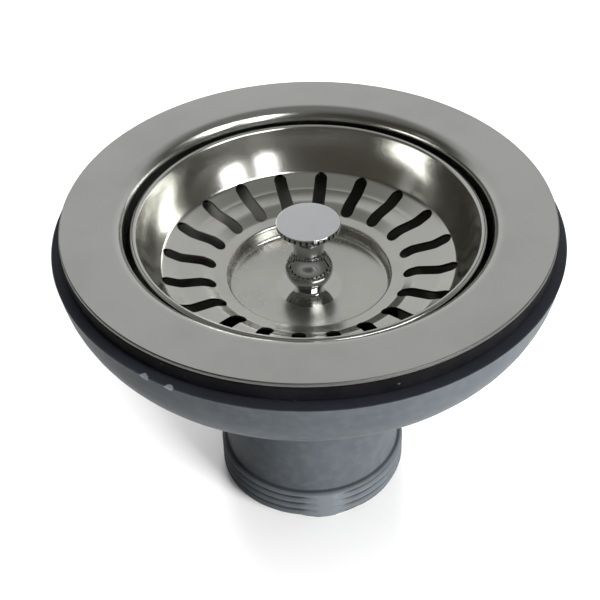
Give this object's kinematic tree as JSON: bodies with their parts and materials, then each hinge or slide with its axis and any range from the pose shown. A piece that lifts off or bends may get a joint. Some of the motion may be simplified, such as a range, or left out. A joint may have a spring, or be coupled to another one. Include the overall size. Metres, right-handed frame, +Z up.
{
  "type": "basket strainer sink waste",
  "caption": "Kitchen sink drain with a wide steel flange, a lift-out slotted strainer basket with a knob and stopper, a rubber gasket and a plastic body with a threaded outlet.",
  "frame": {"origin": "centre of the outlet's end face, where the waste stands", "axes": "+Z up along the common axis, from the outlet to the flange"},
  "size_m": [0.1186, 0.1186, 0.0805],
  "materials": {
    "flange_steel": "polished stainless steel with a faint satin",
    "basket_steel": "mirror-polished stainless steel",
    "knob_chrome": "bright chrome",
    "screw_steel": "turned stainless steel",
    "nut_brass": "machined brass",
    "rubber": "matt black rubber",
    "body_plastic": "satin blue-grey moulded polypropylene",
    "clip_plastic": "natural white nylon"
  },
  "bodies": {
    "waste": {"flange_dish": "flange_steel", "sink_gasket": "rubber", "lower_body": "body_plastic", "hub_spider": "body_plastic", "centre_screw": "screw_steel", "hub_nut": "nut_brass"},
    "catch": {"stem_clip": "clip_plastic"},
    "strainer": {"basket": "basket_steel", "knob": "knob_chrome", "stem": "screw_steel", "stopper_seal": "rubber", "stopper_plate": "screw_steel"}
  },
  "joints": [
    {"name": "basket_lift", "type": "slide", "parent": "waste", "child": "catch", "axis": [0, 0, 1], "range_m": [0, 0.02]},
    {"name": "basket_turn", "type": "hinge", "parent": "catch", "child": "strainer", "pos_m": [0, 0, 0.0274], "axis": [0, 0, 1], "continuous": true}
  ]
}
